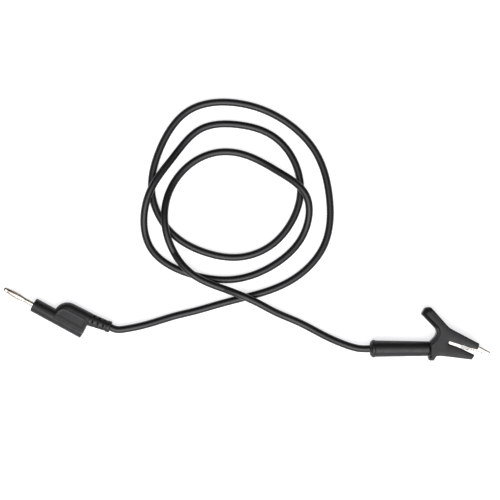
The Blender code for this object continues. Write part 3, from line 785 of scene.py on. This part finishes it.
def make_lantern():
    """The sprung sleeve on the pin: a bulged tube slit into leaves, with round slit ends."""
    collar_radius = 1.5
    bulge = 0.5
    wall = 0.22
    collar = 1.0
    leaves = 6
    slit = 0.22
    front = -PIN_LENGTH + PIN_HEAD + 0.3
    rear = -PIN_NECK - 0.3
    sides = 144
    steps = 72
    slit_front, slit_rear = front + collar + 0.3, rear - collar - 0.3

    def radius_at(along):
        share = (along - front - collar) / (rear - front - 2 * collar)
        share = min(max(share, 0), 1)
        return collar_radius + bulge * math.sin(math.pi * share) ** 0.85

    def is_open(along, angle):
        offset = (angle + math.pi / leaves) % (2 * math.pi / leaves) - math.pi / leaves
        across = abs(offset) * radius_at(along)
        over = max(slit_front + slit - along, along - slit_rear + slit, 0)
        return math.hypot(across, over) < slit

    spots = [front + (rear - front) * i / steps for i in range(steps + 1)]
    points = []
    for shell in (0, wall):
        for along in spots:
            radius = radius_at(along) - shell
            for j in range(sides):
                angle = 2 * math.pi * j / sides
                points.append((along, radius * math.cos(angle), radius * math.sin(angle)))
    layer = len(spots) * sides
    solid = {}
    for i in range(steps):
        for j in range(sides):
            angle = 2 * math.pi * (j + 0.5) / sides
            solid[i, j] = not is_open((spots[i] + spots[i + 1]) / 2, angle)
    faces = []
    for (i, j), filled in solid.items():
        if not filled:
            continue
        k = (j + 1) % sides
        corners = [i * sides + j, i * sides + k, (i + 1) * sides + k, (i + 1) * sides + j]
        faces.append(corners)
        faces.append([corner + layer for corner in reversed(corners)])
        beside = ((i - 1, j, 0, 1), (i, k, 1, 2), (i + 1, j, 2, 3), (i, (j - 1) % sides, 3, 0))
        for row, column, first, second in beside:
            if not solid.get((row, column), False):
                a, b = corners[first], corners[second]
                faces.append([b, a, a + layer, b + layer])
    spring = add_piece("lantern_spring", points, faces, PLUG, NICKEL)
    finished(spring, "lead", "nickel", "plug_lantern_spring")


def strands(name, start, end, radius, place):
    """A bundle of bare wires laid in a slow helix."""
    wire = radius / 5
    turns = (end - start) / 14
    layers = ((0, 1), (2 * wire, 6), (4 * wire, 12))
    pieces = []
    for out, count in layers:
        for k in range(count):
            path = []
            for i in range(17):
                angle = 2 * math.pi * (k / count + turns * i / 16)
                path.append((start + (end - start) * i / 16, out * math.cos(angle), out * math.sin(angle)))
            pieces.append(bar(f"{name}_{len(pieces)}", path, wire * 0.97, place, COPPER, 8))
    work = bmesh.new()
    for piece in pieces:
        work.from_mesh(piece.data)
    bundle = pieces.pop(0)
    work.to_mesh(bundle.data)
    work.free()
    for piece in pieces:
        bpy.data.objects.remove(piece, do_unlink=True)
    bundle.name = name
    shade(bundle.data)
    return bundle


def make_plug_contacts():
    """The bush that holds the pin, the socket behind it, and the lug to the cable."""
    socket_start = BODY_LENGTH - SOCKET_DEPTH
    socket_end = BODY_LENGTH - 0.2
    bush_end = BODY_LENGTH - SOCKET_DEPTH - 0.3
    profile = rounded([
        (1.5, 1.55, 0.1),
        (1.5, CONTACT_RADIUS, 0.25),
        (bush_end, CONTACT_RADIUS, 0.25),
        (bush_end, 0, 0),
        (PIN_STUB + 0.3, 0, 0),
        (PIN_STUB + 0.3, 1.55, 0.1),
    ])
    bush = turned("contact_bush", profile, PLUG, BRASS, 64, closed=True)
    finished(bush, "lead", "brass", "plug_contact_bush")
    socket = turned_tube(
        "socket_sleeve", socket_start, socket_end, SOCKET_BORE, CONTACT_RADIUS, PLUG, NICKEL, 0.2, 96
    )
    finished(socket, "lead", "nickel", "plug_socket_sleeve")
    lug_outline = rounded([(18.8, 3.05, 0.2), (20.8, 3.05, 0.2), (20.8, 4.1, 0.2), (18.8, 4.1, 0.2)])
    lug = prism("contact_lug", lug_outline, -0.45, 0.45, PLUG, BRASS)
    finished(lug, "lead", "brass", "plug_contact_lug")


def make_wire_end(prefix, insulation, conductor, ferrule, place):
    """The cable's stripped end: its jacket, the bare strands and the crimp round them."""
    jacket = turned(
        f"{prefix}_cable_end_jacket",
        rounded([
            (insulation[0], 0, 0),
            (insulation[0], CABLE_RADIUS, 0.08),
            (insulation[1], CABLE_RADIUS, 0.08),
            (insulation[1], 0, 0),
        ], closed=False),
        place,
        CABLE_PVC,
        48,
    )
    finished(jacket, "lead", "cable_pvc", f"{prefix}_cable_end")
    bundle = strands(f"{prefix}_strands", *conductor, 0.95, place)
    finished(bundle, "lead", "tinned_copper", f"{prefix}_conductor")
    crimp = turned_tube(f"{prefix}_crimp", *ferrule, 1.25, 1.7, place, BRASS, 0.15, 48)
    finished(crimp, "lead", "brass", f"{prefix}_crimp_ferrule")


make_plug_body()
make_strain_relief()
make_pin()
make_lantern()
make_plug_contacts()
make_wire_end("plug", (-5.0, RELIEF_LENGTH), (-13.9, -5.3), (-13.6, -8.2), RELIEF)


# Clip ----------------------------------------------------------------------------------------

def mouth_point(along, above):
    """A point given along the closed mouth from the pivot and above it, in the clip's axes."""
    cos, sin = math.cos(MOUTH_TURN), math.sin(MOUTH_TURN)
    return (PIVOT[0] + along * cos - above * sin, PIVOT[1] + along * sin + above * cos)


def teeth(side):
    """The toothed edge of a jaw from the throat to the tip; side is +1 above the mouth."""
    pitch = 1.5
    depth = 0.7
    gap = 0.12
    land = 0.09
    edge = []
    along = TEETH_START
    while along < JAW_LENGTH - pitch:
        edge.append(mouth_point(along, side * (gap + depth)))
        edge.append(mouth_point(along + pitch / 2 - land, side * gap))
        edge.append(mouth_point(along + pitch / 2 + land, side * gap))
        along += pitch
    edge.append(mouth_point(along, side * (gap + depth)))
    edge.append(mouth_point(JAW_LENGTH, side * gap))
    return edge


def jaw_half(points, root_half):
    """Half the width of a jaw, which narrows from the pivot to the tip."""
    tip_half = 2.05
    x, y = points[:, 0] - PIVOT[0], points[:, 1] - PIVOT[1]
    along = x * math.cos(MOUTH_TURN) + y * math.sin(MOUTH_TURN)
    return root_half + (tip_half - root_half) * along / JAW_LENGTH


def make_jaw(name, outline, hollow, spine, root_half, extras, body, node):
    """A channel of bent sheet: rounded along its spine, and open towards the mouth."""
    bend = 0.8
    rivet_hole = 0.95

    def outer(points):
        return jaw_half(points, root_half) - rim(distance(points, spine), bend)

    def inner(points):
        return jaw_half(points, root_half) - SHEET

    jaw = moulding(name, outline, outer, CLIP, NICKEL, rim_rows(bend, 4), 0.4)
    core = moulding(f"{name}_core", hollow, inner, CLIP, NICKEL, (), 2.0)
    combine(jaw, [core])
    if extras:
        combine(jaw, extras, "UNION")
    hole = prism(f"{name}_hole", arc(PIVOT, rivet_hole, 0, 348, 29), -6, 6, CLIP)
    combine(jaw, [hole])
    finished(jaw, body, "nickel", node)


def make_lower_jaw():
    spine = [(34.5, -4.3), (33.2, -4.3), (27.0, -4.6), (20.0, -4.5), (10.0, -3.2), (1.0, -2.6)]
    outline = (
        [(1.6, -2.7), (1.6, 0.5)]
        + arc(PIVOT, 2.4, 180, 10, 18)
        + [mouth_point(10.9, 0.95), mouth_point(THROAT_START - 0.3, 0.2)]
        + [mouth_point(THROAT_START, -THROAT_HALF), mouth_point(TEETH_START - 0.6, -THROAT_HALF)]
        + teeth(-1)
        + spine[1:5]
    )
    hollow = [(-1, -2.1), (10.0, -2.6), (20.0, -3.9), (27.0, -3.95), (31.6, -3.7), (34, 9), (-1, 12)]
    tail = prism(
        "tail",
        rounded([(-11.0, -2.75, 0.25), (4.0, -2.75, 0), (4.0, -2.1, 0), (-11.0, -2.1, 0.25)]),
        -1.4,
        1.4,
        CLIP,
        NICKEL,
    )
    make_jaw("lower_jaw", outline, hollow, spine, 3.3, [tail], "lead", "clip_lower_jaw")


def make_upper_jaw():
    spine = [(36.0, -2.6), (34.7, -1.9), (28.0, 1.6), (10.4, 10.85), (8.6, 12.1), (0.3, 21.3)]
    outline = (
        spine[1:]
        + [(-2.3, 18.9), (4.6, 11.0), (4.4, 8.5)]
        + arc(PIVOT, 2.2, 165, 340, 18)
        + [mouth_point(5.0, 1.3), mouth_point(TEETH_START - 0.6, THROAT_HALF)]
        + teeth(1)
    )
    hollow = [
        (32.5, -1.6), (27.7, 1.0), (10.1, 10.2), (8.1, 11.7), (0.3, 20.4),
        (-1.6, 18.8), (-6.0, 14.0), (2.0, 0.0), (20.0, -6.0), (32.5, -6.0),
    ]
    make_jaw("upper_jaw", outline, hollow, spine, 2.35, [], "moving_jaw", "clip_upper_jaw")


def make_rivet():
    outer = 3.9
    inner = 3.45
    half = [(outer, 0, 0), (outer, 1.5, 0.35), (inner, 1.5, 0.1), (inner, 0.8, 0.1)]
    profile = rounded([*half, *[(-x, y, r) for x, y, r in reversed(half)]], closed=False)
    upright = HINGE @ Matrix.Rotation(math.radians(-90), 4, "Y")
    rivet = turned("pivot_rivet", profile, upright, STEEL, 64)
    finished(rivet, "lead", "spring_steel", "clip_pivot_rivet")


def make_spring():
    """The torsion spring: a coil of wire round the pivot, with a straight leg at each end."""
    radius = 1.55
    turns = 3.6
    pitch = 0.72
    start = math.radians(215)
    height = pitch * turns
    path = [(-4.9, -6.2, -height / 2), (-4.05, -5.15, -height / 2), (-3.2, -4.1, -height / 2)]
    steps = round(turns * 30)
    for i in range(steps + 1):
        angle = start + 2 * math.pi * turns * i / steps
        path.append((radius * math.cos(angle), radius * math.sin(angle), height * (i / steps - 0.5)))
    path += [(-1.0, 6.6, height / 2), (-2.1, 8.3, height / 2), (-3.2, 10.0, height / 2)]
    spring = bar("torsion_spring", path, 0.28, HINGE, STEEL, 12)
    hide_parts("clip_torsion_spring")
    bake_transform(spring)


def boot_outline():
    """The side view of the boot: foot, lower nose, mouth, upper nose, lever and bow."""
    return rounded([
        (-0.9, -4.75, 0.4), (-0.7, -6.6, 0.75), (1.9, -6.6, 0.75), (3.3, -4.1, 1.3),
        (5.6, -3.95, 4.0), (10.7, -4.45, 12.0), (23.5, -6.1, 0.7), (25.3, -3.4, 0.5),
        (15.6, 1.15, 8.0), (10.35, 2.95, 0.45), (10.45, 4.5, 0.5), (17.3, 2.3, 1.5),
        (18.9, 2.1, 1.5), (22.5, 0.6, 4.0), (27.0, -0.25, 0.5), (28.0, 2.95, 0.7),
        (10.7, 12.1, 9.0), (0.3, 23.9, 1.7), (-2.9, 23.4, 1.7), (-5.05, 19.85, 0.7),
        (3.3, 11.3, 1.9), (3.8, 9.2, 1.6), (2.9, 7.2, 2.6), (0.9, 5.0, 1.4),
        (0.0, 4.3, 0.5), (0.0, -4.2, 0.4),
    ])


def make_boot():
    """One soft moulding over both jaws and the bow behind the pivot."""
    outline = boot_outline()
    back = [(-5.05, 19.85), (3.3, 11.3), (3.75, 9.2), (2.9, 7.2), (0.9, 5.0), (0.0, 4.3)]
    lever_back = back[:2]
    lever_end = [(1.2, 24.2), (-2.9, 23.4), (-5.3, 19.6)]
    edge = 0.8

    def height(points):
        x, y = points[:, 0], points[:, 1]
        half = BOOT_HALF - 0.85 * np.clip((x - 9) / 19, 0, 1) - 0.45 * np.clip((y - 13) / 11, 0, 1)
        from_back = distance(points, back)
        step = 0.95 * ease((1.95 - from_back) / 0.45)
        bead = 0.5 * np.exp(-((distance(points, lever_back) - 0.95) / 0.22) ** 2) * ease((y - 10.5) / 2)
        end = 1.2 * ease(1 - distance(points, lever_end) / 2.7)
        crown = 0.14 * ease(1 - distance(points, outline, True) / 3.0)
        return half - rim(distance(points, outline, True), edge) - np.maximum(step - bead, end) - crown

    rows = rim_rows(edge, 5) + [1.15, 1.5, 1.75, 1.95]
    boot = moulding("clip_boot", outline, height, CLIP, BLACK_PVC, rows, 0.36)
    jaw_room = prism(
        "jaw_room",
        [
            (-2, -3.1), (10.5, -3.5), (16.5, -4.3), (16.5, 7.95), (10.2, 11.25), (9.4, 12.1), (3.9, 12.1),
            (4.25, 11.0), (4.3, 9.3), (3.75, 7.7), (2.2, 5.4), (0.9, 3.3), (-2, 3.1),
        ],
        -3.6,
        3.6,
        CLIP,
    )
    rivet_room = prism("rivet_room", arc(PIVOT, 2.0, 0, 345, 23), -4.1, 4.1, CLIP)
    nose_room = prism(
        "nose_room",
        [(16.0, -4.2), (20.0, -4.85), (30.0, -4.95), (30.0, 0.85), (28.0, 1.9), (16.0, 8.2)],
        -2.95,
        2.95,
        CLIP,
    )
    lever_room = prism(
        "lever_room", [(9.2, 11.0), (8.9, 12.35), (0.34, 21.8), (-2.8, 18.95), (4.2, 11.0)], -2.95, 2.95, CLIP
    )
    combine(boot, [jaw_room, rivet_room, nose_room, lever_room])
    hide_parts("clip_boot_lower", "clip_boot_upper")
    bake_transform(boot)


def make_sleeve():
    """The round sleeve behind the boot, with a lip and a chamfer where the cable goes in."""
    rear = -SLEEVE_LENGTH
    lip_radius = 5.1
    cable_fit = 2.16
    profile = rounded([
        (-0.3, 3.35, 0.1),
        (-0.3, 4.2, 0.5),
        (-6.0, 4.3, 30.0),
        (rear + 3.2, 4.72, 1.0),
        (rear + 2.5, lip_radius, 0.5),
        (rear + 1.5, lip_radius, 0.6),
        (rear + 0.3, 3.9, 0.5),
        (rear, 3.3, 0.4),
        (rear, cable_fit, 0.2),
        (rear + 1.5, cable_fit, 0),
        (rear + 1.7, CABLE_HOLE, 0),
        (-13.0, CABLE_HOLE, 0),
        (-12.2, 3.35, 0),
    ])
    sleeve = turned("clip_sleeve_moulding", profile, CLIP, BLACK_PVC, 128, closed=True)
    finished(sleeve, "lead", "black_pvc", "clip_sleeve")


make_lower_jaw()
make_upper_jaw()
make_rivet()
make_spring()
make_boot()
make_sleeve()
make_wire_end("clip", (-SLEEVE_LENGTH, -12.0), (-11.7, -3.4), (-10.8, -3.8), CLIP)
